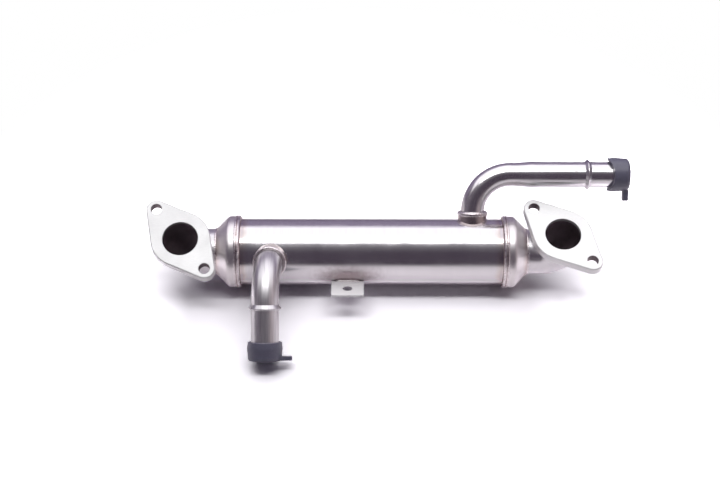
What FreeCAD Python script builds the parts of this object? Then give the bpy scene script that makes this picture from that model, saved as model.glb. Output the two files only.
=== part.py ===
import FreeCAD
import Part
import math
import os
from FreeCAD import Vector

# A shell-and-tube exhaust gas cooler.
# Hot gas enters through the inlet flange, turns through an elbow and a cone into a bundle of
# straight tubes, and leaves through the cone, elbow and flange at the other end.
# Coolant fills the shell round the tubes. It enters and leaves through two bent pipes.
# The cooler is drawn as it lies on a table: its two skirt welds and the lower cap touch down.
# While it is built, X is the shell axis, Z is up, and the shell's middle is at the origin.
# The finished pieces are moved so that the centre of the inlet flange face is the origin.
# Angles round the shell count up from the front horizon, which is 0 and points along -Y.
# A bolt angle turns the line through a flange's two bolts away from the shell axis.
# All sizes are in millimetres and all angles in degrees.

# Shell
shell_diameter = 50.0
shell_wall = 1.2
shell_length = 214.0

# Fits
braze_gap = 0.05
slip_gap = 0.1

# End cones: a skirt over the shell, a rounded shoulder, a cone and a pierced mouth
skirt_lap = 5.0
skirt_clear = 1.0
cone_wall = 2.0
cone_angle = 45.0
shoulder_round = 4.0

# Gas elbows
elbow_diameter = 34.4
elbow_wall = 2.0
elbow_bend_radius = 17.8
elbow_neck = 7.8
inlet_elbow_tail = 3.4
outlet_elbow_tail = 5.4

# Gas flanges
flange_thickness = 7.0
flange_land = 3.4
flange_bore = 26.7
flange_belly_radius = 22.3
flange_tip_radius = 7.8
flange_edge_round = 1.0
bolt_spacing = 61.4
bolt_hole = 8.4
hole_chamfer = 0.2
inlet_flange_angle = 68.0
outlet_flange_angle = 75.6
inlet_bolt_angle = 51.7
outlet_bolt_angle = 48.0

# Tube bundle: rings of tubes fill the shell, and ligament is the metal between two of them
tube_rings = 2
tube_pattern_angle = 60.0
tube_ligament = 2.3
bundle_clear = 1.7
gas_tube_wall = 0.5
gas_tube_proud = 0.5
tube_sheet_thickness = 3.0
tube_sheet_inset = 1.0
baffle_thickness = 1.2
baffle_spacing = 70.0

# Coolant ports
inlet_port_at = -73.95
outlet_port_at = 76.65
collar_wall = 2.1
collar_height = 4.4
pipe_wall = 1.2

# Coolant inlet pipe, at the lower left. A pipe rises straight above its weld, then bends,
# and its other places are measured along it from the end of the bend.
inlet_pipe_diameter = 20.4
inlet_port_angle = 29.0
inlet_end_angle = -47.0
inlet_lean_angle = 4.0
inlet_rise = 3.42
inlet_bend_radius = 28.0
inlet_bead_at = 3.92
inlet_bead_rise = 3.0
inlet_bead_fall = 1.4
inlet_tip_at = 40.12

# Coolant outlet pipe, at the upper right, widened after its bend
outlet_pipe_diameter = 17.6
outlet_spigot_diameter = 19.2
outlet_port_angle = 126.5
outlet_rise = 0.15
outlet_bend_radius = 28.5
swage_from = 3.0
swage_to = 15.8
swage_crest = 0.2
swage_fade = 6.0
outlet_bead_at = 58.1
outlet_bead_rise = 2.2
outlet_bead_fall = 2.4
outlet_tip_at = 87.5

# Hose beads
bead_height = 2.1
bead_round = 0.5

# Caps over the coolant pipes. The outlet cap is longer and rounder, and its tab is thicker.
cap_floor = 2.0
cap_crown = 0.5
cap_crown_at = 4.5
cap_end_taper = 0.8
cap_rim_round = 0.5
inlet_cap_wall = 2.7
inlet_cap_length = 13.8
inlet_cap_end_round = 1.5
inlet_tab_thickness = 3.3
outlet_cap_wall = 3.2
outlet_cap_length = 16.5
outlet_cap_end_round = 3.0
outlet_tab_thickness = 4.4
scoop_depth = 4.4
tab_width = 7.5
tab_length = 6.9
tab_root = 3.0
tab_round = 1.5

# Mounting bracket: a leg round the shell and a flat tab with one hole
bracket_thickness = 1.6
bracket_width = 24.3
bracket_at = -18.0
bracket_joint_angle = -18.0
bracket_plate_angle = 15.8
bracket_plate_length = 20.6
bracket_leg_angle = 50.0
bracket_corner_round = 1.6
bracket_hole = 7.2
bracket_hole_at = 10.5

# Weld beads
skirt_weld_width = 3.8
skirt_weld_lap = 2.2
skirt_weld_crest = 0.5
skirt_weld_ridge = 1.4
skirt_weld_groove = 0.5
skirt_weld_round = 0.8
neck_weld_leg = 0.7
flange_weld_leg = 1.5
flange_weld_root = 1.0
flange_weld_toe = 0.3
flange_weld_gap_angle = 65.0
port_weld_height = 1.3
port_weld_proud = 0.3
port_weld_slope = 0.7
bracket_weld_length = 20.0
bracket_weld_radius = 1.1

# Worked-out sizes
shell_radius = shell_diameter / 2
shell_bore_radius = shell_radius - shell_wall
shell_end = shell_length / 2
skirt_edge = shell_end - skirt_lap
skirt_bore_radius = shell_radius + braze_gap
skirt_radius = skirt_bore_radius + cone_wall
shoulder = shell_end + skirt_clear
elbow_radius = elbow_diameter / 2
elbow_bore_radius = elbow_radius - elbow_wall
mouth_radius = elbow_radius + braze_gap
slope = math.tan(math.radians(cone_angle))
mouth = shoulder + (skirt_radius - mouth_radius) / slope
cone_offset = cone_wall / math.sin(math.radians(cone_angle))
elbow_start = mouth + elbow_neck
elbow_socket = mouth - cone_offset
flange_centre = elbow_start + elbow_bend_radius
bundle_room = shell_bore_radius - bundle_clear - tube_rings * tube_ligament
gas_tube_diameter = bundle_room / (tube_rings + 0.5)
gas_tube_radius = gas_tube_diameter / 2
gas_tube_pitch = gas_tube_diameter + tube_ligament
tube_row_spacing = gas_tube_pitch * math.sin(math.radians(tube_pattern_angle))
baffle_edge = tube_row_spacing * (tube_rings - 0.5)
sheet_outer = shell_end - tube_sheet_inset
sheet_inner = sheet_outer - tube_sheet_thickness
bundle_end = sheet_outer + gas_tube_proud
weld_top = shell_radius + collar_height + port_weld_height
inlet_leg_length = weld_top + inlet_rise
outlet_leg_length = weld_top + outlet_rise
along_shell = Vector(1, 0, 0)


# Unit vector square to the shell axis at an elevation above the front horizon
def radial(elevation):
    angle = math.radians(elevation)
    return Vector(0, -math.cos(angle), math.sin(angle))


# Closed outline through plane points, each with its corner radius.
# place turns a plane point into a point of the model.
def rounded_outline(corners, place):
    edges = []
    last = None
    first = None
    count = len(corners)
    for index, (x, y, radius) in enumerate(corners):
        here = Vector(x, y, 0)
        back = Vector(corners[index - 1][0], corners[index - 1][1], 0).sub(here)
        ahead = Vector(corners[(index + 1) % count][0], corners[(index + 1) % count][1], 0).sub(here)
        back.normalize()
        ahead.normalize()
        if radius > 0:
            half = back.getAngle(ahead) / 2
            reach = radius / math.tan(half)
            middle = back.add(ahead)
            middle.normalize()
            enter = here + back * reach
            leave = here + ahead * reach
            top = here + middle * (radius / math.sin(half) - radius)
            arc = Part.Arc(place(enter), place(top), place(leave)).toShape()
        else:
            enter = here
            leave = here
            arc = None
        if last is not None and (enter - last).Length > 1e-6:
            edges.append(Part.makeLine(place(last), place(enter)))
        if arc is not None:
            edges.append(arc)
        if first is None:
            first = enter
        last = leave
    if (first - last).Length > 1e-6:
        edges.append(Part.makeLine(place(last), place(first)))
    return Part.Wire(edges)


# Solid turned about an axis from corners given as distance along it, radius and corner rounding
def turned(corners, origin, axis):
    side = along_shell.cross(axis)
    if side.Length < 0.5:
        side = Vector(0, 0, 1)
    side.normalize()
    outline = rounded_outline(corners, lambda p: origin + axis * p.x + side * p.y)
    return Part.Face(outline).revolve(origin, axis, 360)


# The same, with the last corner dropped to the axis so that the solid is full
def turned_full(wall, origin, axis):
    start = wall[0][0]
    end = wall[-1][0]
    return turned(wall + [(end, 0, 0), (start, 0, 0)], origin, axis)


def rod(radius, start, direction, length):
    return Part.makeCylinder(radius, length, start, direction)


# Round bar bent about a turning axis, with the place and direction where it ends
def bend(radius, start, direction, turn_axis, bend_radius, angle):
    centre = start + turn_axis.cross(direction) * bend_radius
    disc = Part.Face(Part.Wire(Part.makeCircle(radius, start, direction)))
    bar = disc.revolve(centre, turn_axis, angle)
    turn = FreeCAD.Rotation(turn_axis, angle)
    return bar, centre + turn.multVec(start - centre), turn.multVec(direction)


def shell():
    start = along_shell * -shell_end
    tube = rod(shell_radius, start, along_shell, shell_length)
    tube = tube.cut(rod(shell_bore_radius, start, along_shell, shell_length))
    for x, axis, diameter in ports():
        hole = rod(diameter / 2 + braze_gap, along_shell * x, axis, shell_diameter)
        tube = tube.cut(hole)
    return tube


# Place along the shell, direction and pipe diameter of the two coolant ports
def ports():
    return [
        (inlet_port_at, inlet_leg(), inlet_pipe_diameter),
        (outlet_port_at, radial(outlet_port_angle), outlet_pipe_diameter),
    ]


# Centres of the tubes in a triangular pattern: one in the middle and rings of six, twelve, ...
def tube_centres():
    centres = []
    step = radial(0) * gas_tube_pitch
    lean = radial(tube_pattern_angle) * gas_tube_pitch
    for i in range(-tube_rings, tube_rings + 1):
        for j in range(-tube_rings, tube_rings + 1):
            if abs(i + j) <= tube_rings:
                centres.append(step * i + lean * j)
    return centres


def gas_tube(centre):
    start = along_shell * -bundle_end + centre
    tube = rod(gas_tube_radius, start, along_shell, 2 * bundle_end)
    return tube.cut(rod(gas_tube_radius - gas_tube_wall, start, along_shell, 2 * bundle_end))


# Disc across the shell, drilled for every tube
def drilled_disc(radius, x, thickness, gap):
    start = along_shell * x
    disc = rod(radius, start, along_shell, thickness)
    holes = [rod(gas_tube_radius + gap, start + c, along_shell, thickness) for c in tube_centres()]
    return disc.cut(holes)


def tube_sheet(end):
    x = sheet_inner if end > 0 else -sheet_outer
    return drilled_disc(shell_bore_radius - braze_gap, x, tube_sheet_thickness, braze_gap)


# Baffles leave a window open past their second last row of tubes, on opposite sides,
# so that the coolant weaves across the bundle
def baffle(end):
    radius = shell_bore_radius - slip_gap
    x = end * baffle_spacing / 2 - baffle_thickness / 2
    disc = drilled_disc(radius, x, baffle_thickness, slip_gap)
    height = radius - baffle_edge
    low = baffle_edge if end > 0 else -radius
    window = Part.makeBox(baffle_thickness, 2 * radius, height, Vector(x, -radius, low))
    return disc.cut(window)


def end_cone(end):
    inner_mouth = mouth - cone_offset
    inner_shoulder = inner_mouth - (skirt_bore_radius - mouth_radius) / slope
    wall = [
        (skirt_edge, skirt_bore_radius, 0),
        (skirt_edge, skirt_radius, 0),
        (shoulder, skirt_radius, shoulder_round),
        (mouth, mouth_radius, 0),
        (inner_mouth, mouth_radius, 0),
        (inner_shoulder, skirt_bore_radius, 0),
    ]
    return turned(wall, Vector(0, 0, 0), along_shell * end)


# Bent bar that the elbow's outside and its bore are both made from
def elbow_bar(radius, end, elevation, tail):
    outward = along_shell * end
    start = outward * elbow_socket
    bar = rod(radius, start, outward, elbow_start - elbow_socket)
    turn_axis = outward.cross(radial(elevation))
    curve, place, direction = bend(
        radius, outward * elbow_start, outward, turn_axis, elbow_bend_radius, 90)
    return bar.fuse([curve, rod(radius, place, direction, tail)])


def elbow(end, elevation, tail):
    outside = elbow_bar(elbow_radius, end, elevation, tail)
    return outside.cut(elbow_bar(elbow_bore_radius, end, elevation, tail))


# Centre of a flange's face, which stands the elbow's bend, tail and the flange's land off the axis
def flange_face(end, elevation, tail):
    height = elbow_bend_radius + tail + flange_land
    return along_shell * (end * flange_centre) + radial(elevation) * height


# Two-bolt flange: its outline is a rhombus, its belly and tips rounded about bore and bolts
def flange(end, elevation, tail, bolt_turn):
    normal = radial(elevation)
    turn = math.radians(-bolt_turn)
    bolt_line = along_shell * math.cos(turn) + normal.cross(along_shell) * math.sin(turn)
    across = normal.cross(bolt_line)
    face = flange_face(end, elevation, tail)
    back = face - normal * flange_thickness
    lean = math.asin((flange_belly_radius - flange_tip_radius) / (bolt_spacing / 2))
    tip = flange_belly_radius / math.sin(lean)
    belly = flange_belly_radius / math.cos(lean)
    corners = [
        (tip, 0, flange_tip_radius),
        (0, belly, flange_belly_radius),
        (-tip, 0, flange_tip_radius),
        (0, -belly, flange_belly_radius),
    ]
    outline = rounded_outline(corners, lambda p: back + bolt_line * p.x + across * p.y)
    plate = Part.Face(outline).extrude(normal * flange_thickness)
    rims = [e for e in plate.Edges if (e.CenterOfMass - face).dot(normal) > -flange_edge_round]
    plate = plate.makeFillet(flange_edge_round, rims)
    cuts = [
        rod(elbow_radius + braze_gap, back, normal, flange_thickness - flange_land),
        drilled(face, normal, flange_bore / 2),
        drilled(face + bolt_line * (bolt_spacing / 2), normal, bolt_hole / 2),
        drilled(face - bolt_line * (bolt_spacing / 2), normal, bolt_hole / 2),
    ]
    return plate.cut(cuts)


# Hole through the flange with a chamfered edge at its face
def drilled(centre, normal, radius):
    wall = [
        (-flange_thickness, radius, 0),
        (-hole_chamfer, radius, 0),
        (0, radius + hole_chamfer, 0),
    ]
    return turned_full(wall, centre, normal)


# Raised boss where a coolant pipe leaves the shell, with its foot cut to the shell's curve
def port_collar(x, axis, diameter):
    start = along_shell * x
    height = shell_radius + collar_height
    boss = rod(diameter / 2 + braze_gap + collar_wall, start, axis, height)
    boss = boss.cut(rod(diameter / 2 + braze_gap, start, axis, height))
    return boss.cut(rod(shell_radius, start - along_shell * shell_diameter, along_shell, 2 * shell_diameter))


# Outline of a pipe end with a rolled hose bead, as corners along the pipe
def beaded_end(radius, bead_at, rise, fall, end):
    return [
        (bead_at - rise, radius, 0),
        (bead_at, radius + bead_height, bead_round),
        (bead_at + fall, radius, 0),
        (end, radius, 0),
    ]


# The inlet pipe's first leg leans a little from square, towards the inlet flange
def inlet_leg():
    lean = math.radians(inlet_lean_angle)
    return radial(inlet_port_angle) * math.cos(lean) - along_shell * math.sin(lean)


# Coolant inlet pipe, or its bore when the wall is taken off
def inlet_pipe_bar(take_off):
    radius = inlet_pipe_diameter / 2 - take_off
    root = along_shell * inlet_port_at
    leave = inlet_leg()
    arrive = radial(inlet_end_angle)
    bar = rod(radius, root, leave, inlet_leg_length)
    turn_axis = leave.cross(arrive)
    turn_axis.normalize()
    curve, place, direction = bend(
        radius, root + leave * inlet_leg_length, leave, turn_axis, inlet_bend_radius,
        math.degrees(leave.getAngle(arrive)))
    wall = [(0, radius, 0)]
    wall += beaded_end(radius, inlet_bead_at, inlet_bead_rise, inlet_bead_fall, inlet_tip_at)
    return bar.fuse([curve, turned_full(wall, place, direction)]), place, direction


# Coolant outlet pipe: bent along the shell, then widened to the spigot that carries the hose
def outlet_pipe_bar(take_off):
    radius = outlet_pipe_diameter / 2 - take_off
    spigot = outlet_spigot_diameter / 2 - take_off
    root = along_shell * outlet_port_at
    leave = radial(outlet_port_angle)
    bar = rod(radius, root, leave, outlet_leg_length)
    turn_axis = leave.cross(along_shell)
    curve, place, direction = bend(
        radius, root + leave * outlet_leg_length, leave, turn_axis, outlet_bend_radius, 90)
    wall = [
        (0, radius, 0),
        (swage_from, radius, swage_fade),
        (swage_to, spigot + swage_crest, swage_fade),
        (swage_to + swage_fade, spigot, swage_fade),
    ]
    wall += beaded_end(spigot, outlet_bead_at, outlet_bead_rise, outlet_bead_fall, outlet_tip_at)
    return bar.fuse([curve, turned_full(wall, place, direction)]), place, direction


# Pipe wall, coped to the shell's bore at its root
def coolant_pipe(pipe_bar):
    pipe = pipe_bar(0)[0].cut(pipe_bar(pipe_wall)[0])
    core = rod(shell_bore_radius, along_shell * -shell_end, along_shell, shell_length)
    return pipe.cut(core)


# Push-on cap with a pull tab. Its rim starts at the far side from the pipe's tip.
def cap(tip, direction, bore, side_wall, length, end_round, tab_side, tab_thickness):
    outer = bore + side_wall
    rim = tip + direction * (cap_floor - length)
    depth = length - cap_floor
    wall = [
        (0, bore, 0),
        (0, outer - cap_crown, cap_rim_round),
        (cap_crown_at, outer, 2 * cap_crown_at),
        (length, outer - cap_end_taper, end_round),
        (length, 0, 0),
        (depth, 0, 0),
        (depth, bore, 0),
    ]
    cup = turned(wall, rim, direction)
    across = direction.cross(tab_side)
    reach = outer + tab_length
    corners = [
        ((bore + outer) / 2, -tab_width / 2 - tab_root / 2, 0),
        (outer, -tab_width / 2, tab_root),
        (reach, -tab_width / 2, tab_round),
        (reach, tab_width / 2, tab_round),
        (outer, tab_width / 2, tab_root),
        ((bore + outer) / 2, tab_width / 2 + tab_root / 2, 0),
    ]
    base = rim + direction * (length - tab_thickness)
    outline = rounded_outline(corners, lambda p: base + tab_side * p.x + across * p.y)
    return cup.fuse(Part.Face(outline).extrude(direction * (tab_thickness - cap_rim_round))).removeSplitter()


def inlet_cap():
    tip, direction = pipe_tip(inlet_pipe_bar, inlet_tip_at)
    bore = inlet_pipe_diameter / 2 + slip_gap
    return cap(tip, direction, bore, inlet_cap_wall, inlet_cap_length, inlet_cap_end_round,
               along_shell, inlet_tab_thickness)


# The outlet cap's rim is scooped on the two sides beside its tab
def outlet_cap():
    tip, direction = pipe_tip(outlet_pipe_bar, outlet_tip_at)
    tab_side = radial(outlet_port_angle) * -1
    bore = outlet_spigot_diameter / 2 + slip_gap
    body = cap(tip, direction, bore, outlet_cap_wall, outlet_cap_length, outlet_cap_end_round,
               tab_side, outlet_tab_thickness)
    half = bore + outlet_cap_wall
    scoop_radius = (half ** 2 + scoop_depth ** 2) / (2 * scoop_depth)
    across = direction.cross(tab_side)
    rim = tip + direction * (cap_floor - outlet_cap_length)
    centre = rim + direction * (scoop_depth - scoop_radius)
    return body.cut(rod(scoop_radius, centre - across * half, across, 2 * half))


def pipe_tip(pipe_bar, length):
    place, direction = pipe_bar(0)[1:]
    return place + direction * length, direction


# Bracket bent from sheet: one leg follows the shell down, the other stands out as a flat tab
def bracket():
    joint = radial(bracket_joint_angle)
    out = radial(bracket_plate_angle)
    up = out.cross(along_shell)
    inner = shell_radius + braze_gap
    middle = inner + bracket_thickness / 2
    corner = joint * middle
    low = radial(bracket_joint_angle - bracket_leg_angle)
    half_leg = radial(bracket_joint_angle - bracket_leg_angle / 2)
    side = along_shell * (bracket_at - bracket_width / 2)
    leg = [
        Part.Arc(joint * inner, half_leg * inner, low * inner).toShape(),
        Part.makeLine(low * inner, low * (inner + bracket_thickness)),
        Part.Arc(low * (inner + bracket_thickness), half_leg * (inner + bracket_thickness),
                 joint * (inner + bracket_thickness)).toShape(),
        Part.makeLine(joint * (inner + bracket_thickness), joint * inner),
    ]
    leg_solid = Part.Face(Part.Wire(leg)).extrude(along_shell * bracket_width)
    leg_solid.translate(side)
    half = bracket_thickness / 2
    reach = bracket_plate_length
    plate_corners = [
        (0, -bracket_width / 2, 0),
        (reach, -bracket_width / 2, bracket_corner_round),
        (reach, bracket_width / 2, bracket_corner_round),
        (0, bracket_width / 2, 0),
    ]
    foot = along_shell * bracket_at + corner - up * half
    outline = rounded_outline(plate_corners, lambda p: foot + out * p.x + along_shell * p.y)
    plate = Part.Face(outline).extrude(up * bracket_thickness)
    knuckle = rod(half, side + corner, along_shell, bracket_width)
    hole_centre = foot + out * bracket_hole_at
    hole = rod(bracket_hole / 2, hole_centre - up * bracket_thickness, up, 3 * bracket_thickness)
    whole = leg_solid.fuse([plate, knuckle]).removeSplitter().cut(hole)
    return whole.cut(rod(inner, along_shell * -shell_end, along_shell, shell_length))


# Bead over the skirt's edge, laid in two passes that leave two ridges with a groove between them
def skirt_weld(end):
    crest = skirt_radius + skirt_weld_crest
    shell_toe = skirt_edge - skirt_weld_width
    skirt_toe = skirt_edge + skirt_weld_lap
    wall = [
        (shell_toe, shell_radius, 0),
        (shell_toe + skirt_weld_ridge, crest, skirt_weld_round),
        ((shell_toe + skirt_toe) / 2, crest - skirt_weld_groove, skirt_weld_round),
        (skirt_toe - skirt_weld_ridge, crest, skirt_weld_round),
        (skirt_toe, skirt_radius, 0),
        (skirt_edge, skirt_radius, 0),
        (skirt_edge, shell_radius, 0),
    ]
    return turned(wall, Vector(0, 0, 0), along_shell * end)


# Fillet weld in the crease between cone and elbow
def neck_weld(end):
    wall = [
        (mouth - neck_weld_leg, mouth_radius + neck_weld_leg * slope, 0),
        (mouth + neck_weld_leg, elbow_radius, 0),
        (mouth, elbow_radius, 0),
        (mouth, mouth_radius, 0),
    ]
    return turned(wall, Vector(0, 0, 0), along_shell * end)


# Fillet weld behind a flange. It runs round the elbow's outside and stops short of the crotch,
# and its root follows the elbow, which bends away inside it.
def flange_weld(end, elevation, tail):
    normal = radial(elevation)
    back = flange_face(end, elevation, tail) - normal * flange_thickness
    side = FreeCAD.Rotation(normal, flange_weld_gap_angle).multVec(along_shell * -end)
    wall = [
        (0, elbow_radius - flange_weld_root, 0),
        (0, elbow_radius + flange_weld_leg, 0),
        (-flange_weld_leg, elbow_radius + flange_weld_toe, 0),
        (-flange_weld_leg, elbow_radius - flange_weld_root, 0),
    ]
    outline = rounded_outline(wall, lambda p: back + normal * p.x + side * p.y)
    bead = Part.Face(outline).revolve(back, normal, 360 - 2 * flange_weld_gap_angle)
    return bead.cut(elbow_bar(elbow_radius, end, elevation, tail))


# Weld bead on top of a port collar, round the pipe's straight leg
def port_weld(x, axis, diameter):
    foot = along_shell * x + axis * (shell_radius + collar_height)
    outer = diameter / 2 + braze_gap + collar_wall + port_weld_proud
    wall = [
        (0, diameter / 2, 0),
        (0, outer, 0),
        (port_weld_height / 2, outer, 0),
        (port_weld_height, outer - port_weld_slope, 0),
        (port_weld_height, diameter / 2, 0),
    ]
    return turned(wall, foot, axis)


# Bead along the top of the bracket, in the crease between its plate and the shell
def bracket_weld():
    joint = radial(bracket_joint_angle)
    above = joint.cross(along_shell)
    place = joint * (shell_radius + bracket_thickness / 2) + above * bracket_weld_radius
    start = place + along_shell * (bracket_at - bracket_weld_length / 2)
    bead = rod(bracket_weld_radius, start, along_shell, bracket_weld_length)
    return bead.cut([rod(shell_radius, along_shell * -shell_end, along_shell, shell_length), bracket()])


def save(name, shape):
    shape.translate(flange_face(-1, inlet_flange_angle, inlet_elbow_tail) * -1)
    shape.exportStep(os.path.join("parts", name + ".step"))
    print(name, len(shape.Solids), "solid", round(shape.Volume, 1), "mm3", "valid" if shape.isValid() else "INVALID")


def main():
    os.makedirs("parts", exist_ok=True)
    save("shell", shell())
    for number, centre in enumerate(tube_centres(), 1):
        save("gas_tube_%02d" % number, gas_tube(centre))
    ends = [
        ("inlet", -1, inlet_flange_angle, inlet_elbow_tail, inlet_bolt_angle),
        ("outlet", 1, outlet_flange_angle, outlet_elbow_tail, outlet_bolt_angle),
    ]
    for name, end, elevation, tail, bolt_turn in ends:
        save(name + "_tube_sheet", tube_sheet(end))
        save(name + "_baffle", baffle(end))
        save(name + "_end_cone", end_cone(end))
        save(name + "_elbow", elbow(end, elevation, tail))
        save(name + "_flange", flange(end, elevation, tail, bolt_turn))
        save(name + "_skirt_weld", skirt_weld(end))
        save(name + "_neck_weld", neck_weld(end))
        save(name + "_flange_weld", flange_weld(end, elevation, tail))
    pipes = [("coolant_inlet", inlet_pipe_bar, inlet_cap), ("coolant_outlet", outlet_pipe_bar, outlet_cap)]
    for (name, pipe_bar, make_cap), port in zip(pipes, ports()):
        save(name + "_collar", port_collar(*port))
        save(name + "_pipe", coolant_pipe(pipe_bar))
        save(name + "_weld", port_weld(*port))
        save(name + "_cap", make_cap())
    save("mounting_bracket", bracket())
    save("bracket_weld", bracket_weld())


main()
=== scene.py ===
# %% [markdown]
# An exhaust gas cooler, dressed for its picture.
#
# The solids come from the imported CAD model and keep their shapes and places. This lesson adds the
# studio, the finishes and the welded beads, one step at a time. Each cell can be run by itself
# after the cells above it.

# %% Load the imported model
import math
import bpy
from mathutils import Matrix, Vector


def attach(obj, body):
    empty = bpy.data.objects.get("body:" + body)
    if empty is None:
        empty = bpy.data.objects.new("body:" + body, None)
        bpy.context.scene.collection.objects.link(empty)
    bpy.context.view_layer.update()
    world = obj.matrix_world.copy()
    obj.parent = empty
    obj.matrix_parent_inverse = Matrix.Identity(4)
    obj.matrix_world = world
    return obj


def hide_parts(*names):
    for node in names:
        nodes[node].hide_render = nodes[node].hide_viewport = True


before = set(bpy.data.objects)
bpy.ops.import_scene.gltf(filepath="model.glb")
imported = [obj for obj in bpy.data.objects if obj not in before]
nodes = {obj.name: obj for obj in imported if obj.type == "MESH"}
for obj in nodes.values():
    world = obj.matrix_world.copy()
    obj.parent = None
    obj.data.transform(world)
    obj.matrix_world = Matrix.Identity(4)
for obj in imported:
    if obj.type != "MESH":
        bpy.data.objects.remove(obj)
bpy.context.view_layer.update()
print("CAD nodes:", len(nodes))

# %% [markdown]
# ## Places on the cooler
#
# A few places are used again and again: the axis of the round shell, the faces of the two gas
# flanges, the skirts' seams and the height of the table. They are the same numbers as in the CAD
# source, in metres. A direction across the shell is given by its angle above the front horizon,
# as in that source too.

# %% Places and directions
shell_axis = Vector((0.1434, 0.009215, -0.022809))
along_shell = Vector((1, 0, 0))
inlet_face = Vector((0, 0, 0))
inlet_angle = 68.0
outlet_face = Vector((0.2868, 0.0026, 0.0029556))
outlet_angle = 75.6
skirt_seam = 0.1015
neck_seam = 0.1179
table_height = -0.05032


def radial(angle):
    return Vector((0, -math.cos(math.radians(angle)), math.sin(math.radians(angle))))


print("the inlet flange looks towards", radial(inlet_angle))
print("the outlet flange looks towards", radial(outlet_angle))

# %% [markdown]
# ## Camera
#
# The photograph looks down at 45 degrees from a bit over a metre away. A long lens keeps the
# round flanges from looking stretched. Moving the camera back along its own line of sight from a
# target point is simpler than guessing three angles. A tenth of a degree of roll follows the
# photograph's own small tilt.

# %% Camera
look_down = math.radians(45)
camera_distance = 1.145
camera_roll = math.radians(0.115)
target_left = 0.0087
target_up = 0.0084
picture_up = Vector((0, 1, 1)).normalized()
target = shell_axis - along_shell * target_left + picture_up * target_up
back = Vector((0, -math.cos(look_down), math.sin(look_down)))
tilt = Matrix.Rotation(math.pi / 2 - look_down, 3, "X")
roll = Matrix.Rotation(camera_roll, 3, "Z")
bpy.ops.object.camera_add(
    location=target + back * camera_distance, rotation=(tilt @ roll).to_euler())
camera = bpy.context.object
camera.name = "photo_camera"
camera.data.lens = 75
camera.data.sensor_width = 36
camera.data.sensor_fit = "HORIZONTAL"
camera.data.clip_start = 0.01
bpy.context.scene.camera = camera
print("camera at", tuple(round(v, 4) for v in camera.location))

# %% [markdown]
# ## Helpers for materials
#
# Every finish starts from the same few nodes: the coordinates of the object and one Principled
# shader. The first helper makes them and hands back the tree, so that each finish only adds what
# is special about it. The others each add one node, set its values or links, and hand back the
# output that the next step needs.

# %% Start of a material
def start_material(name):
    material = bpy.data.materials.new(name)
    material.use_nodes = True
    tree = material.node_tree
    shader = tree.nodes["Principled BSDF"]
    place = tree.nodes.new("ShaderNodeTexCoord").outputs["Object"]
    return material, tree, shader, place


def add_node(tree, kind, **values):
    node = tree.nodes.new(kind)
    for name, value in values.items():
        if name in node.inputs:
            node.inputs[name].default_value = value
        else:
            setattr(node, name, value)
    return node


def link_or_set(tree, value, socket):
    if isinstance(value, bpy.types.NodeSocket):
        tree.links.new(value, socket)
    else:
        socket.default_value = value

# %% Numbers and places
def calculate(tree, operation, *values):
    node = add_node(tree, "ShaderNodeMath", operation=operation)
    for value, socket in zip(values, node.inputs):
        link_or_set(tree, value, socket)
    return node.outputs["Value"]


def calculate_place(tree, operation, *values):
    node = add_node(tree, "ShaderNodeVectorMath", operation=operation)
    for value, socket in zip(values, node.inputs):
        link_or_set(tree, value, socket)
    return node.outputs["Value" if operation in ("LENGTH", "DISTANCE") else "Vector"]


def map_range(tree, source, start, end, low=0.0, high=1.0, soft=False):
    change = add_node(tree, "ShaderNodeMapRange")
    if soft:
        change.interpolation_type = "SMOOTHSTEP"
    tree.links.new(source, change.inputs["Value"])
    change.inputs["From Min"].default_value = start
    change.inputs["From Max"].default_value = end
    link_or_set(tree, low, change.inputs["To Min"])
    link_or_set(tree, high, change.inputs["To Max"])
    return change.outputs["Result"]

# %% Colours and bumps
def grey(value):
    return (value, value, value)


def flat_colour(tree, colour):
    node = tree.nodes.new("ShaderNodeRGB")
    node.outputs["Color"].default_value = colour + (1,)
    return node.outputs["Color"]


def add_ramp(tree, source, *stops):
    ramp = tree.nodes.new("ShaderNodeValToRGB")
    for index, (position, colour) in enumerate(stops):
        if index < 2:
            element = ramp.color_ramp.elements[index]
            element.position = position
        else:
            element = ramp.color_ramp.elements.new(position)
        element.color = colour + (1,)
    tree.links.new(source, ramp.inputs["Fac"])
    return ramp.outputs["Color"]


def multiply(tree, colour, tint, mask=1.0):
    blend = add_node(tree, "ShaderNodeMix", data_type="RGBA", blend_type="MULTIPLY")
    link_or_set(tree, mask, blend.inputs["Factor"])
    tree.links.new(colour, blend.inputs["A"])
    tree.links.new(tint, blend.inputs["B"])
    return blend.outputs["Result"]


def add_bump(tree, shader, height, strength, distance):
    bump = add_node(tree, "ShaderNodeBump", Strength=strength, Distance=distance)
    tree.links.new(height, bump.inputs["Height"])
    tree.links.new(bump.outputs["Normal"], shader.inputs["Normal"])

# %% [markdown]
# ## Shared effects as node groups
#
# Drawn and polished steel is never quite even. Four effects come back on many pieces, so each is
# built once as a node group with named inputs: grain, smudges, the tint that welding leaves
# beside a seam, and a soft patch at one place. The first helper makes an empty group, and the
# second one puts a group into a material with its own values.

# %% Helpers for groups
def start_group(name, inputs, outputs):
    group = bpy.data.node_groups.new(name, "ShaderNodeTree")
    for label, kind, value in inputs:
        socket = group.interface.new_socket(label, in_out="INPUT", socket_type=kind)
        if value is not None:
            socket.default_value = value
    for label, kind in outputs:
        group.interface.new_socket(label, in_out="OUTPUT", socket_type=kind)
    entry = group.nodes.new("NodeGroupInput").outputs
    leave = group.nodes.new("NodeGroupOutput").inputs
    return group, entry, leave


def use_group(tree, group, vector, **values):
    node = tree.nodes.new("ShaderNodeGroup")
    node.node_tree = group
    tree.links.new(vector, node.inputs["Vector"])
    for name, value in values.items():
        node.inputs[name].default_value = value
    return node.outputs

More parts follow.
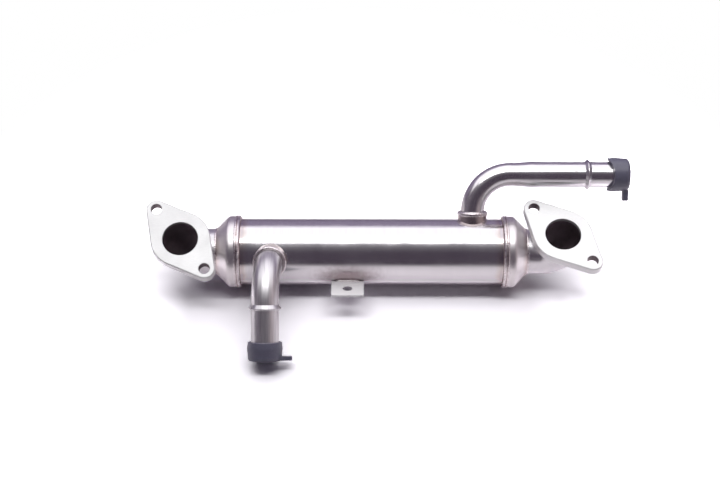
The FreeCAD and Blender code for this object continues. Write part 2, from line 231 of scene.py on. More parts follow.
# %% [markdown]
# Grain is the fine lines that drawing, grinding or a polishing belt leaves, all one way. A noise
# does it when the coordinates are first squeezed along the lines, so Stretch has a small number
# for the direction in which the lines run.

# %% Grain group
grain, entry, leave = start_group(
    "grain",
    [("Vector", "NodeSocketVector", None), ("Stretch", "NodeSocketVector", (1, 1, 1)),
     ("Fineness", "NodeSocketFloat", 1000.0)],
    [("Grain", "NodeSocketFloat")])
stretched = calculate_place(grain, "MULTIPLY", entry["Vector"], entry["Stretch"])
lines = add_node(grain, "ShaderNodeTexNoise", Detail=4.0, Roughness=0.6)
grain.links.new(stretched, lines.inputs["Vector"])
grain.links.new(entry["Fineness"], lines.inputs["Scale"])
grain.links.new(lines.outputs["Fac"], leave["Grain"])
print("group:", grain.name)

# %% [markdown]
# Smudges are where hands, oil and cloth left the shine a little uneven. A cloudy noise between
# two limits makes them, and it can drive a roughness as well as the height of soft waves.

# %% Smudge group
smudge, entry, leave = start_group(
    "smudge",
    [("Vector", "NodeSocketVector", None), ("Size", "NodeSocketFloat", 60.0),
     ("Low", "NodeSocketFloat", 0.0), ("High", "NodeSocketFloat", 1.0)],
    [("Value", "NodeSocketFloat")])
cloud = add_node(smudge, "ShaderNodeTexNoise", Detail=3.0, Roughness=0.55, Distortion=0.4)
smudge.links.new(entry["Vector"], cloud.inputs["Vector"])
smudge.links.new(entry["Size"], cloud.inputs["Scale"])
spread = map_range(smudge, cloud.outputs["Fac"], 0.3, 0.7, entry["Low"], entry["High"])
smudge.links.new(spread, leave["Value"])
print("group:", smudge.name)

# %% [markdown]
# Steel that was welded in air keeps a band of straw and brown beside the seam. The seams run
# round the shell at equal distances on both sides of its middle, so the X coordinate alone says
# how far a point is from them. A noise makes the band ragged. The tint and its mask come out
# apart, so that a finish can also use the mask with a colour of its own.

# %% Heat tint group
heat, entry, leave = start_group(
    "heat_tint",
    [("Vector", "NodeSocketVector", None), ("Middle", "NodeSocketFloat", shell_axis.x),
     ("Seam", "NodeSocketFloat", 0.1), ("Reach", "NodeSocketFloat", 0.01)],
    [("Tint", "NodeSocketColor"), ("Mask", "NodeSocketFloat")])
parts = add_node(heat, "ShaderNodeSeparateXYZ")
heat.links.new(entry["Vector"], parts.inputs["Vector"])
from_middle = calculate(heat, "SUBTRACT", parts.outputs["X"], entry["Middle"])
both_sides = calculate(heat, "ABSOLUTE", from_middle)
from_seam = calculate(heat, "SUBTRACT", both_sides, entry["Seam"])
away = calculate(heat, "ABSOLUTE", from_seam)
share = calculate(heat, "DIVIDE", away, entry["Reach"])
ragged = add_node(heat, "ShaderNodeTexNoise", Scale=90.0, Detail=2.0)
heat.links.new(entry["Vector"], ragged.inputs["Vector"])
wobble = calculate(heat, "MULTIPLY_ADD", ragged.outputs["Fac"], 0.9, share)
tint = add_ramp(
    heat, wobble, (0.35, (0.74, 0.69, 0.72)), (0.65, (0.82, 0.73, 0.69)),
    (0.95, (0.92, 0.86, 0.80)))
heat.links.new(tint, leave["Tint"])
heat.links.new(map_range(heat, wobble, 0.5, 1.3, 1.0, 0.0), leave["Mask"])
print("group:", heat.name)

# %% [markdown]
# The bracket's weld coloured the shell above it too. This group gives a mask that is 1 at one place
# and fades out over a size that can differ along each axis.

# %% Patch group
patch, entry, leave = start_group(
    "patch",
    [("Vector", "NodeSocketVector", None), ("Place", "NodeSocketVector", (0, 0, 0)),
     ("Size", "NodeSocketVector", (0.01, 0.01, 0.01))],
    [("Mask", "NodeSocketFloat")])
offset = calculate_place(patch, "SUBTRACT", entry["Vector"], entry["Place"])
scaled = calculate_place(patch, "DIVIDE", offset, entry["Size"])
far = calculate_place(patch, "LENGTH", scaled)
ragged = add_node(patch, "ShaderNodeTexNoise", Scale=260.0, Detail=3.0)
patch.links.new(entry["Vector"], ragged.inputs["Vector"])
uneven = calculate(patch, "MULTIPLY_ADD", ragged.outputs["Fac"], 0.5, far)
fade = map_range(patch, uneven, 0.4, 1.4, 1.0, 0.0, soft=True)
patch.links.new(fade, leave["Mask"])
print("group:", patch.name)

# %% [markdown]
# ## Painted shade in holes
#
# Holes and bores have to look dark inside while the face round them stays bright, so shade is
# painted into them. The next helper measures how far each point is from the nearest of some given
# places, such as the middle of a hole. What is nearer than the reach is multiplied with a dark
# tint: painted shade.

# %% Painted shade near some places
def paint_shade_near(tree, place, colour, centres, reach, tint):
    nearest = None
    for centre in centres:
        apart = calculate_place(tree, "DISTANCE", place, centre)
        nearest = apart if nearest is None else calculate(tree, "MINIMUM", nearest, apart)
    inside = calculate(tree, "LESS_THAN", nearest, reach)
    return multiply(tree, colour, flat_colour(tree, tint), inside)

# %% [markdown]
# The gas bore turns with its elbow, so its middle is a line that is first straight and then bent.
# A row of places along that line stands for it: one just behind the flange's face, six round the
# bend and one in the neck behind it.

# %% Places along a bore
def bore_line(face, angle, straight, turn_to):
    bend_radius = 0.0178
    outward = radial(angle)
    sideways = along_shell * turn_to
    bend_start = face - outward * straight
    places = [face - outward * 0.003]
    for degrees in (0, 18, 36, 54, 72, 90):
        turned = math.radians(degrees)
        step = sideways * (1 - math.cos(turned)) - outward * math.sin(turned)
        places.append(bend_start + step * bend_radius)
    places.append(places[-1] + sideways * 0.006)
    return places


inlet_bore = bore_line(inlet_face, inlet_angle, 0.0068, 1)
outlet_bore = bore_line(outlet_face, outlet_angle, 0.0088, -1)
print("the inlet's gas bore ends at", inlet_bore[-1], "and the outlet's at", outlet_bore[-1])

# %% [markdown]
# ## Polished steel
#
# The shell, the cones, the elbows and the coolant pipes are polished stainless steel. It is fully
# metallic, so almost all that shows is the studio in its reflection. Two things keep it from
# looking like a mirror ball: fine grain that follows the polishing, and a roughness that drifts a
# little from place to place. Brushed metal draws its highlights out one way, and an anisotropic
# shine does that for the lower pipe.

# %% Polished steel
scorch_brown = (0.42, 0.35, 0.36)
bore_shade = (0.84, 0.76, 0.80)
bore_reach = 0.0163
grain_height = 0.00001


def polished_steel(name, stretch, seam=None, scorch=None, bore=(), colour=(0.75, 0.73, 0.75),
                   rough=0.2, wavy=0.0, brushed=0.0, streaks=0.93):
    material, tree, shader, place = start_material(name)
    shader.inputs["Metallic"].default_value = 1.0
    fine = use_group(tree, grain, place, Stretch=stretch, Fineness=900.0)["Grain"]
    toned = add_ramp(tree, fine, (0.3, tuple(c * streaks for c in colour)), (0.7, colour))
    if seam is not None:
        warm = use_group(tree, heat, place, Seam=seam[0], Reach=seam[1])
        toned = multiply(tree, toned, warm["Tint"], warm["Mask"])
    if scorch is not None:
        burnt = use_group(tree, patch, place, Place=scorch[0], Size=scorch[1])["Mask"]
        toned = multiply(tree, toned, flat_colour(tree, scorch_brown), burnt)
    # Inside the gas bore the colour is darkened: painted shade.
    if bore:
        toned = paint_shade_near(tree, place, toned, bore, bore_reach, bore_shade)
    tree.links.new(toned, shader.inputs["Base Color"])
    if brushed:
        across = add_node(tree, "ShaderNodeCombineXYZ", X=1.0)
        tree.links.new(across.outputs["Vector"], shader.inputs["Tangent"])
        shader.inputs["Anisotropic"].default_value = brushed
        shader.inputs["Anisotropic Rotation"].default_value = 0.25
    cloudy = use_group(tree, smudge, place, Size=45.0, Low=rough - 0.03, High=rough + 0.05)
    tree.links.new(cloudy["Value"], shader.inputs["Roughness"])
    soft = use_group(tree, smudge, place, Size=110.0, Low=0.0, High=wavy)["Value"]
    uneven = calculate(tree, "MULTIPLY_ADD", fine, grain_height, soft)
    add_bump(tree, shader, uneven, 0.6, 1.0)
    return material

# %% [markdown]
# The pieces differ in how they were polished and where they were heated. The shell has a mirror
# shine, with tinted bands inside the skirts' seams and a scorch above the bracket. The cones,
# elbows and the lower pipe are duller, and the collars are the brownest.

# %% Polished finishes
bracket_scorch = ((0.1254, -0.0157, -0.0245), (0.030, 0.012, 0.0125))
port_scorch = ((0.2200, 0.0290, 0.0030), (0.020, 0.0075, 0.0075))
shell_steel = polished_steel(
    "shell_steel", (1.0, 0.05, 0.05), seam=(0.0975, 0.006), scorch=bracket_scorch)
cone_steel = polished_steel(
    "cone_steel", (0.6, 0.1, 0.1), seam=(0.1185, 0.006), colour=(0.79, 0.75, 0.76), rough=0.36)
# The elbows' gas bores get painted shade inside.
inlet_elbow_steel = polished_steel(
    "inlet_elbow_steel", (0.3, 0.3, 0.3), bore=inlet_bore, rough=0.33)
outlet_elbow_steel = polished_steel(
    "outlet_elbow_steel", (0.3, 0.3, 0.3), bore=outlet_bore, rough=0.33)
inlet_pipe_steel = polished_steel(
    "inlet_pipe_steel", (0.8, 0.04, 0.04), rough=0.33, wavy=0.00003, brushed=0.6, streaks=0.7)
outlet_pipe_steel = polished_steel(
    "outlet_pipe_steel", (0.05, 0.6, 0.6), scorch=port_scorch, rough=0.22, wavy=0.00005)
collar_steel = polished_steel(
    "collar_steel", (0.4, 0.4, 0.4), colour=(0.56, 0.49, 0.48), rough=0.28)
print("polished finishes:", shell_steel.name, cone_steel.name, collar_steel.name)

# %% [markdown]
# ## Ground flange steel
#
# The flanges are cut from plate and ground flat. Grinding leaves a matte, almost white face with
# very fine marks, so the roughness is much higher than on the polished pieces. The bolt holes'
# walls are darkened with painted shade. Each hole's middle lies half the bolt spacing from the
# flange's own middle, along a line that is turned in the flange's plane.

# %% Flange steel
half_flange = 0.0035
bolt_offset = 0.0307
bolt_hole_reach = 0.0053
bolt_hole_shade = (0.22, 0.18, 0.19)


def flange_steel(name, face, angle, turn, low, high):
    material, tree, shader, place = start_material(name)
    shader.inputs["Metallic"].default_value = 0.75
    outward = radial(angle)
    across = outward.cross(along_shell)
    turned = math.radians(turn)
    bolt_line = along_shell * math.cos(turned) - across * math.sin(turned)
    middle = face - outward * half_flange
    holes = [middle + bolt_line * bolt_offset, middle - bolt_line * bolt_offset]
    marks = use_group(tree, grain, place, Stretch=(0.25, 1.0, 1.0), Fineness=1400.0)["Grain"]
    tone = add_ramp(tree, marks, (0.25, grey(low)), (0.75, grey(high)))
    # Painted shade on the bolt holes' walls.
    tone = paint_shade_near(tree, place, tone, holes, bolt_hole_reach, bolt_hole_shade)
    tree.links.new(tone, shader.inputs["Base Color"])
    cloudy = use_group(tree, smudge, place, Size=70.0, Low=0.50, High=0.58)["Value"]
    tree.links.new(cloudy, shader.inputs["Roughness"])
    add_bump(tree, shader, marks, 0.2, 0.00006)
    print(name, "with holes at", holes)
    return material


# The inlet flange's tone is painted darker than the outlet's: painted shade for how the lamps fall
# on the two faces.
inlet_flange_steel = flange_steel(
    "inlet_flange_steel", inlet_face, inlet_angle, 51.7, 0.69, 0.75)
outlet_flange_steel = flange_steel(
    "outlet_flange_steel", outlet_face, outlet_angle, 48.0, 0.83, 0.89)

# %% [markdown]
# ## Bracket steel
#
# The bracket is bent from bright sheet with a dull surface, and it looks nearly white. So it is
# hardly metallic here, with grain along its bend and painted shade on the wall of its hole.

# %% Bracket steel
bracket_hole = Vector((0.1254, -0.02569, -0.02871))
bracket_hole_reach = 0.00368
bracket_hole_shade = (0.30, 0.27, 0.30)
bracket_steel, tree, shader, place = start_material("bracket_steel")
shader.inputs["Metallic"].default_value = 0.15
marks = use_group(tree, grain, place, Stretch=(0.1, 1.0, 1.0), Fineness=900.0)["Grain"]
tone = add_ramp(tree, marks, (0.25, (0.96, 0.93, 0.96)), (0.75, (1.0, 0.98, 1.0)))
# Painted shade on the wall of the bracket's hole.
tone = paint_shade_near(tree, place, tone, [bracket_hole], bracket_hole_reach, bracket_hole_shade)
tree.links.new(tone, shader.inputs["Base Color"])
cloudy = use_group(tree, smudge, place, Size=80.0, Low=0.34, High=0.46)["Value"]
tree.links.new(cloudy, shader.inputs["Roughness"])
add_bump(tree, shader, marks, 0.15, 0.00006)
print("finish:", bracket_steel.name)

# %% [markdown]
# ## Weld metal
#
# A weld bead freezes in small waves, and it is duller and more speckled than the steel beside it.
# Bright and dark specks come from a cell pattern, and a soft noise makes the surface lumpy. On the
# skirts' beads shade is painted in three thin lines: in the groove and at both edges. They reuse
# the mask of the heat tint, with a short reach and a brown of their own.

# %% Weld metal
bead_edge = 0.0026
groove_shade_brown = (0.46, 0.37, 0.37)
weld_metal, tree, shader, place = start_material("weld_metal")
shader.inputs["Metallic"].default_value = 1.0
cells = add_node(tree, "ShaderNodeTexVoronoi", Scale=900.0)
tree.links.new(place, cells.inputs["Vector"])
tone = add_ramp(
    tree, cells.outputs["Distance"], (0.2, (0.84, 0.79, 0.80)), (0.7, (0.66, 0.60, 0.61)))
# Painted shade in the groove and along both edges of the skirts' beads.
for seam in (skirt_seam - bead_edge, skirt_seam, skirt_seam + bead_edge):
    line = use_group(tree, heat, place, Seam=seam, Reach=0.0007)["Mask"]
    tone = multiply(tree, tone, flat_colour(tree, groove_shade_brown), line)
tree.links.new(tone, shader.inputs["Base Color"])
cloudy = use_group(tree, smudge, place, Size=300.0, Low=0.24, High=0.36)["Value"]
tree.links.new(cloudy, shader.inputs["Roughness"])
lumps = use_group(tree, smudge, place, Size=500.0, Low=0.0, High=1.0)["Value"]
add_bump(tree, shader, lumps, 0.5, 0.00006)
print("finish:", weld_metal.name)

# %% [markdown]
# ## Core steel
#
# The tubes, tube sheets and baffles are inside. They are plain drawn and punched sheet, seen only
# down the bore of a flange, with a brown tinge from the brazing furnace. Their dark tone is
# painted shade, since little light gets inside.

# %% Core steel
core_steel, tree, shader, place = start_material("core_steel")
shader.inputs["Metallic"].default_value = 1.0
marks = use_group(tree, grain, place, Stretch=(0.05, 1.0, 1.0), Fineness=700.0)["Grain"]
# Dark tone: painted shade for the inside of the cooler.
tone = add_ramp(tree, marks, (0.3, (0.30, 0.27, 0.26)), (0.7, (0.40, 0.37, 0.36)))
tree.links.new(tone, shader.inputs["Base Color"])
cloudy = use_group(tree, smudge, place, Size=90.0, Low=0.34, High=0.5)["Value"]
tree.links.new(cloudy, shader.inputs["Roughness"])
add_bump(tree, shader, marks, 0.2, 0.00008)
print("finish:", core_steel.name)

# %% [markdown]
# ## Cap plastic
#
# The push-on caps are soft dark plastic. It is not metallic: a dark blue-grey colour, a broad dull
# shine and a fine leathery texture from the mould.

# %% Cap plastic
cap_plastic, tree, shader, place = start_material("cap_plastic")
shader.inputs["Specular IOR Level"].default_value = 0.6
skin = use_group(tree, grain, place, Stretch=(1.0, 1.0, 1.0), Fineness=1500.0)["Grain"]
tone = add_ramp(tree, skin, (0.3, (0.122, 0.117, 0.170)), (0.7, (0.161, 0.154, 0.222)))
tree.links.new(tone, shader.inputs["Base Color"])
cloudy = use_group(tree, smudge, place, Size=60.0, Low=0.34, High=0.46)["Value"]
tree.links.new(cloudy, shader.inputs["Roughness"])
add_bump(tree, shader, skin, 0.25, 0.0001)
print("finish:", cap_plastic.name)

# %% [markdown]
# ## Welded beads
#
# A weld bead is laid down in small steps, and each step freezes as a little wave on top of the
# last one. The CAD beads are smooth rings, so here they are replaced by rippled ones.
#
# Vertices are picked by their place, which needs a short trip to object mode. What all beads need
# at the end is in one helper: clean normals, smooth shading, the finish, hanging the bead under the
# root body, and hiding the CAD node that the bead takes the place of.

# %% Helpers for beads
def select_where(piece, test):
    bpy.ops.object.mode_set(mode="EDIT")
    bpy.ops.mesh.select_mode(type="VERT")
    bpy.ops.mesh.select_all(action="DESELECT")
    bpy.ops.object.mode_set(mode="OBJECT")
    for vertex in piece.data.vertices:
        vertex.select = test(vertex.co)
    bpy.ops.object.mode_set(mode="EDIT")


def finish_bead(piece, node):
    bpy.ops.mesh.select_all(action="SELECT")
    bpy.ops.mesh.normals_make_consistent(inside=False)
    bpy.ops.object.mode_set(mode="OBJECT")
    bpy.ops.object.shade_smooth()
    piece.data.materials.append(weld_metal)
    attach(piece, "root")
    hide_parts(node)
    print(piece.name, len(piece.data.polygons), "faces")

# %% [markdown]
# A ring bead starts as a circle, which is squeezed into the bead's section and spun about the X
# axis. Every third row of vertices is lifted for the waves, and the row after it is pressed in.
# A little random movement makes the bead look laid by hand. At the end the whole ring is turned
# and moved to its seam, and the place is applied, so the object itself stays at the origin.

# %% Ring of weld
def weld_ring(node, centre, axis, radius, half_width, half_height, waves, lift, groove=0.0):
    bpy.ops.object.select_all(action="DESELECT")
    bpy.ops.mesh.primitive_circle_add(vertices=32, radius=1, rotation=(math.pi / 2, 0, 0))
    ring = bpy.context.object
    ring.name = node + "_bead"
    bpy.ops.object.transform_apply(location=True, rotation=True, scale=True)
    bpy.ops.object.mode_set(mode="EDIT")
    bpy.ops.mesh.select_all(action="SELECT")
    bpy.ops.transform.resize(value=(half_width, 1, half_height))
    bpy.ops.transform.translate(value=(0, 0, radius))
    rows = waves * 3
    bpy.ops.mesh.spin(steps=rows, angle=2 * math.pi, center=(0, 0, 0), axis=(1, 0, 0))
    bpy.ops.mesh.select_all(action="SELECT")
    bpy.ops.mesh.remove_doubles(threshold=0.000001)
    bpy.ops.mesh.normals_make_consistent(inside=False)

    def outside(place):
        return math.hypot(place.y, place.z) > radius

    def row(place):
        return round(math.atan2(place.y, place.z) / (2 * math.pi) * rows) % 3

    if groove:
        select_where(ring, lambda place: outside(place) and abs(place.x) < half_width * 0.1)
        bpy.ops.transform.shrink_fatten(value=-groove)
    select_where(ring, lambda place: outside(place) and row(place) == 0)
    bpy.ops.transform.shrink_fatten(value=lift)
    select_where(ring, lambda place: outside(place) and row(place) == 1)
    bpy.ops.transform.shrink_fatten(value=-lift)
    bpy.ops.mesh.select_all(action="SELECT")
    bpy.ops.transform.vertex_random(offset=lift * 0.6, seed=waves)
    bpy.ops.object.mode_set(mode="OBJECT")
    turn = along_shell.rotation_difference(axis).to_matrix().to_4x4()
    ring.matrix_world = Matrix.Translation(centre) @ turn
    bpy.ops.object.transform_apply(location=True, rotation=True, scale=True)
    bpy.ops.object.mode_set(mode="EDIT")
    finish_bead(ring, node)

# %% [markdown]
# The two widest beads close the skirts of the end cones. They were laid in two passes, so a groove
# runs between two ridges. The beads on the necks and round the coolant pipes are single passes.
# The coolant pipes stand on the shell like spokes, and the inlet one leans a little.

# %% Beads on the seams
for side, name in ((-1, "inlet"), (1, "outlet")):
    weld_ring(
        name + "_skirt_weld", shell_axis + along_shell * (side * skirt_seam), along_shell,
        radius=0.0255, half_width=0.0027, half_height=0.0021, waves=120, lift=0.00002,
        groove=0.0008)
    weld_ring(
        name + "_neck_weld", shell_axis + along_shell * (side * neck_seam), along_shell,
        radius=0.0172, half_width=0.0009, half_height=0.00055, waves=80, lift=0.00004)

# %% Beads round the coolant pipes
port_height = 0.0295
inlet_lean = math.radians(4)
inlet_leg = radial(29) * math.cos(inlet_lean) - along_shell * math.sin(inlet_lean)
outlet_leg = radial(126.5)
weld_ring(
    "coolant_inlet_weld", shell_axis + along_shell * -0.07395 + inlet_leg * port_height,
    inlet_leg, radius=0.0113, half_width=0.0016, half_height=0.0014, waves=48, lift=0.0001)
weld_ring(
    "coolant_outlet_weld", shell_axis + along_shell * 0.07665 + outlet_leg * port_height,
    outlet_leg, radius=0.0099, half_width=0.0018, half_height=0.0015, waves=42, lift=0.0001)

# %% [markdown]
# The bracket's bead is short and straight. It grows from a circle by extruding it again and again
# along the seam. The first and last rings are small, so that both ends are round, and the rings
# between them swell a little for each wave.

# %% Bead along the bracket
bead_length = 0.020
bead_steps = 40
bead_radius = 0.0011
tip_radius = 0.0003
bracket_joint = radial(-18)
bracket_up = bracket_joint.cross(along_shell)
bead_start = shell_axis + bracket_joint * 0.0258 + bracket_up * 0.0011
bead_start = bead_start + along_shell * (-0.018 - bead_length / 2)
bpy.ops.object.select_all(action="DESELECT")
bpy.ops.mesh.primitive_circle_add(
    vertices=16, radius=tip_radius, location=bead_start, rotation=(0, math.pi / 2, 0))
bead = bpy.context.object
bead.name = "bracket_weld_bead"
bpy.ops.object.transform_apply(location=True, rotation=True, scale=True)
bpy.ops.object.mode_set(mode="EDIT")
bpy.ops.mesh.select_all(action="SELECT")
bpy.ops.mesh.edge_face_add()
size = tip_radius
for step in range(1, bead_steps + 1):
    share = step / bead_steps
    middle = bead_start + along_shell * (bead_length * share)
    wave = 1 + 0.07 * math.cos(step * math.pi / 2)
    swell = min(1, math.sqrt(math.sin(math.pi * share)) * 1.3)
    wanted = max(tip_radius, bead_radius * swell * wave)
    bpy.ops.mesh.extrude_region_move(
        TRANSFORM_OT_translate={"value": (bead_length / bead_steps, 0, 0)})
    bpy.ops.transform.resize(value=(1, wanted / size, wanted / size), center_override=middle)
    size = wanted
finish_bead(bead, "bracket_weld")

# %% [markdown]
# ## Dressing the CAD nodes
#
# Each node gets its finish by name. The first word that fits decides, so the welds come first.

# %% Give every node its finish
finishes = [
    ("weld", weld_metal),
    ("cap", cap_plastic),
    ("inlet_flange", inlet_flange_steel),
    ("outlet_flange", outlet_flange_steel),
    ("bracket", bracket_steel),
    ("gas_tube", core_steel),
    ("tube_sheet", core_steel),
    ("baffle", core_steel),
    ("end_cone", cone_steel),
    ("inlet_elbow", inlet_elbow_steel),
    ("outlet_elbow", outlet_elbow_steel),
    ("collar", collar_steel),
    ("inlet_pipe", inlet_pipe_steel),
    ("outlet_pipe", outlet_pipe_steel),
    ("shell", shell_steel),
]
for name, node in nodes.items():
    finish = next(material for word, material in finishes if word in name)
    for material_slot in node.material_slots:
        material_slot.material = finish
print("finished nodes:", len(nodes))

# %% [markdown]
# ## Table
#
# A white table fills the picture. One paint can't do all that the photograph shows: the ground is
# white, its shadows are soft and yet deep, and the steel shows a darker table behind the cooler.
# So the table has three looks, and the kind of ray picks one of them. The plain paint throws light
# back onto the cooler, and the object isn't lit any harder for the white ground.

# %% Table
studio_middle = 0.14
bpy.ops.object.select_all(action="DESELECT")
bpy.ops.mesh.primitive_plane_add(size=8, location=(studio_middle, 0, table_height))
table = bpy.context.object
table.name = "table"
table_white = bpy.data.materials.new("table_white")
table_white.use_nodes = True
table.data.materials.append(table_white)
print("table at", table_height)

# %% Paint of the table
def diffuse(tree, colour):
    shader = tree.nodes.new("ShaderNodeBsdfDiffuse")
    link_or_set(tree, colour, shader.inputs["Color"])
    return shader.outputs["BSDF"]


def mix_shaders(tree, share, first, second):
    mixed = tree.nodes.new("ShaderNodeMixShader")
    for value, socket in zip((share, first, second), mixed.inputs):
        tree.links.new(value, socket)
    return mixed.outputs["Shader"]


tree = table_white.node_tree
tree.nodes.clear()
table_place = tree.nodes.new("ShaderNodeTexCoord").outputs["Object"]
parts = add_node(tree, "ShaderNodeSeparateXYZ")
tree.links.new(table_place, parts.inputs["Vector"])
plain_paint = diffuse(tree, (0.62, 0.59, 0.63, 1))

# %% [markdown]
# The camera sees a brighter table, brightest behind the cooler, where that paints out the shadow.
# Beside both ends the shadows are painted lighter, where the photograph's shadows are lighter, and
# a deeper shadow is painted under the left end. Far out it is plain white, from every side.

# %% Ground for the camera
backwards = map_range(tree, parts.outputs["Y"], -0.02, 0.12)
sideways = map_range(tree, parts.outputs["X"], -0.2, 0.2)
ground = add_ramp(
    tree, backwards, (0.15, (1.85, 1.80, 1.90)), (0.21, (1.56, 1.52, 1.60)),
    (0.4, (1.56, 1.52, 1.60)), (0.75, (2.5, 2.45, 2.55)))
# Shadows painted lighter beside both ends.
lifted = add_ramp(
    tree, sideways, (0.07, grey(1.3)), (0.12, grey(1.2)), (0.16, grey(0.92)),
    (0.38, grey(0.92)), (0.44, grey(1.0)), (0.81, grey(1.0)), (0.9, grey(1.55)))
ground = multiply(tree, ground, lifted)
# A deeper shadow painted under the left end.
left_part = add_ramp(
    tree, sideways, (0.14, grey(0)), (0.19, grey(1)), (0.38, grey(1)), (0.44, grey(0)))
under_part = add_ramp(
    tree, backwards, (0.03, grey(0)), (0.1, grey(1)), (0.28, grey(1)), (0.36, grey(0)))
deep = multiply(tree, left_part, under_part)
ground = multiply(tree, ground, flat_colour(tree, (0.62, 0.59, 0.64)), deep)
white = add_node(tree, "ShaderNodeEmission", Color=(1, 1, 1, 1)).outputs["Emission"]
far_out = map_range(tree, calculate_place(tree, "LENGTH", table_place), 0.23, 0.36, soft=True)
for_camera = mix_shaders(tree, far_out, diffuse(tree, ground), white)
print("ground for the camera:", len(tree.nodes), "nodes so far")

# %% [markdown]
# In the steel the table shows a painted reflection: darker behind the cooler, with a bright strip
# painted close under it over its shadow, and fading towards the front. Only shiny surfaces that the
# camera looks at show it. After a bounce off something dull the strip would brighten the shadows,
# so those rays meet the plain paint.

# %% Table in the steel
front_to_back = map_range(tree, parts.outputs["Y"], -0.12, 0.28)
# Painted reflection: dark behind, a bright strip painted under the cooler, fading ahead.
mirrored = add_ramp(
    tree, front_to_back, (0.05, (1.12, 1.06, 1.11)), (0.2, (1.25, 1.18, 1.24)),
    (0.25, (1.5, 1.42, 1.5)), (0.275, (3.6, 3.4, 3.6)), (0.325, (3.2, 3.0, 3.2)),
    (0.37, (1.4, 1.3, 1.4)), (0.5, (1.05, 1.0, 1.04)), (0.93, (0.26, 0.21, 0.31)))
ahead = map_range(tree, parts.outputs["Y"], -0.9, -0.15)
fading = add_ramp(tree, ahead, (0.0, (0.30, 0.28, 0.31)), (1.0, grey(1.0)))
in_steel = diffuse(tree, multiply(tree, mirrored, fading))
print("table in the steel:", len(tree.nodes), "nodes so far")

# %% Pick the look by the ray
rays = tree.nodes.new("ShaderNodeLightPath").outputs
first_look = calculate(tree, "SUBTRACT", rays["Is Glossy Ray"], rays["Diffuse Depth"])
first_look.node.use_clamp = True
for_others = mix_shaders(tree, first_look, plain_paint, in_steel)
look = mix_shaders(tree, rays["Is Camera Ray"], for_others, for_camera)
output = tree.nodes.new("ShaderNodeOutputMaterial")
tree.links.new(look, output.inputs["Surface"])
print("all three looks:", len(tree.nodes), "nodes")

# %% [markdown]
# ## Lights
#
# Polished steel shows its surroundings, so the studio is built from what the photograph's
# reflections and shadows show. A wide white panel hangs above and behind. In front of its edge
# hangs a smaller and much brighter lamp. That lamp draws the crisp shadow under the shell, and the
# panel only softens it. Both are area lights, which take their power in watts. The helper works
# it out from how bright the lamp's face should look.

# %% Lamps
lamp_height = 0.8


def hang_lamp(name, front, rear, width, brightness):
    place = (studio_middle, (front + rear) / 2, lamp_height)
    bpy.ops.object.light_add(type="AREA", location=place)
    lamp = bpy.context.object
    lamp.name = name
    lamp.data.shape = "RECTANGLE"
    lamp.data.size = width
    lamp.data.size_y = rear - front
    lamp.data.energy = brightness * math.pi * lamp.data.size * lamp.data.size_y
    print(name, round(lamp.data.energy, 2), "W")


hang_lamp("bright_lamp", -0.168, -0.055, width=0.85, brightness=8.2)
hang_lamp("white_panel", -0.055, 1.1, width=2.5, brightness=1.25)

# %% [markdown]
# ## Dark room
#
# Round the lamps the room is dark, and that is what draws the dark bands along the steel. A large
# dome stands for the room. It shows only in reflections: it lights nothing and throws no shadow.

# %% Dome
bpy.ops.object.select_all(action="DESELECT")
bpy.ops.mesh.primitive_uv_sphere_add(segments=64, ring_count=32, radius=6)
dome = bpy.context.object
dome.name = "dark_room"
dome.visible_camera = False
dome.visible_diffuse = False
dome.visible_shadow = False
dome.visible_transmission = False
room_paint = bpy.data.materials.new("dark_room")
room_paint.use_nodes = True
dome.data.materials.append(room_paint)
print("dome:", dome.name, len(dome.data.polygons), "faces")

# %% [markdown]
# The dome's colour depends on the direction alone. It is darkest in front, and softly laid over
# that are a light side on the right, a dimmer one on the left, a purple-grey back, and a slightly
# lighter ceiling.

# %% Paint of the room
def room_layer(below, source, start, end, colour):
    layer = add_node(tree, "ShaderNodeMix", data_type="RGBA")
    tree.links.new(map_range(tree, source, start, end, soft=True), layer.inputs["Factor"])
    tree.links.new(below, layer.inputs["A"])
    layer.inputs["B"].default_value = colour + (1,)
    return layer.outputs["Result"]


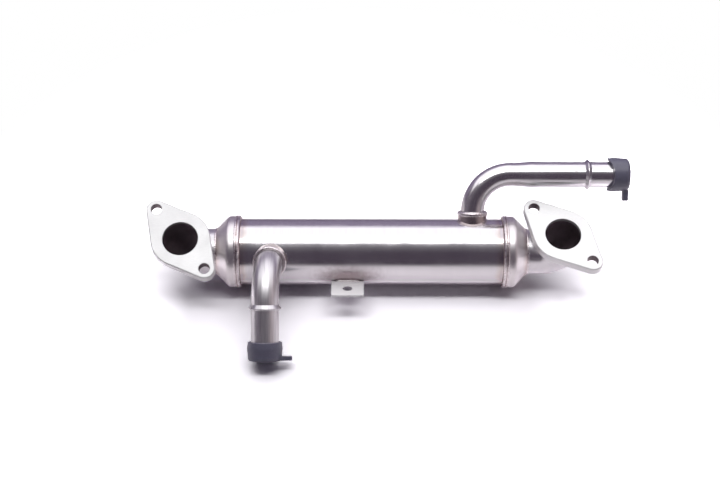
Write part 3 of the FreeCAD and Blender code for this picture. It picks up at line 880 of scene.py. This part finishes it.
tree = room_paint.node_tree
tree.nodes.clear()
direction = calculate_place(
    tree, "NORMALIZE", tree.nodes.new("ShaderNodeTexCoord").outputs["Object"])
sides = tree.nodes.new("ShaderNodeSeparateXYZ")
tree.links.new(direction, sides.inputs["Vector"])
paint = flat_colour(tree, (0.078, 0.062, 0.085))
paint = room_layer(paint, sides.outputs["X"], 0.35, 0.95, (0.46, 0.39, 0.41))
paint = room_layer(paint, sides.outputs["X"], -0.35, -0.95, (0.17, 0.145, 0.18))
paint = room_layer(paint, sides.outputs["Y"], 0.1, 0.7, (0.30, 0.25, 0.36))
paint = room_layer(paint, sides.outputs["Z"], 0.65, 0.95, (0.16, 0.15, 0.17))
glow = tree.nodes.new("ShaderNodeEmission")
tree.links.new(paint, glow.inputs["Color"])
output = tree.nodes.new("ShaderNodeOutputMaterial")
tree.links.new(glow.outputs["Emission"], output.inputs["Surface"])
print("room paint:", len(tree.nodes), "nodes")

# %% [markdown]
# ## World
#
# The world is what lies beyond the studio. On dull surfaces it is only a faint fill in the
# shadows. To the camera and through anything clear it is plain white. Reflections would see it
# white too, if the dome weren't in the way.

# %% World
world = bpy.data.worlds.new("white_room")
bpy.context.scene.world = world
world.use_nodes = True
tree = world.node_tree
tree.nodes.clear()
fill = add_node(tree, "ShaderNodeBackground", Color=(0.95, 0.90, 1.0, 1), Strength=0.03)
backdrop = add_node(tree, "ShaderNodeBackground", Color=(1, 1, 1, 1), Strength=1.0)
rays = tree.nodes.new("ShaderNodeLightPath").outputs
seen = calculate(tree, "MAXIMUM", rays["Is Camera Ray"], rays["Is Glossy Ray"])
seen = calculate(tree, "MAXIMUM", seen, rays["Is Transmission Ray"])
room = mix_shaders(tree, seen, fill.outputs["Background"], backdrop.outputs["Background"])
output = tree.nodes.new("ShaderNodeOutputWorld")
tree.links.new(room, output.inputs["Surface"])
print("world:", world.name)

# %% [markdown]
# ## View
#
# The plain view shows a colour as it is written.

# %% View
bpy.context.scene.view_settings.view_transform = "Standard"
print("view:", bpy.context.scene.view_settings.view_transform)
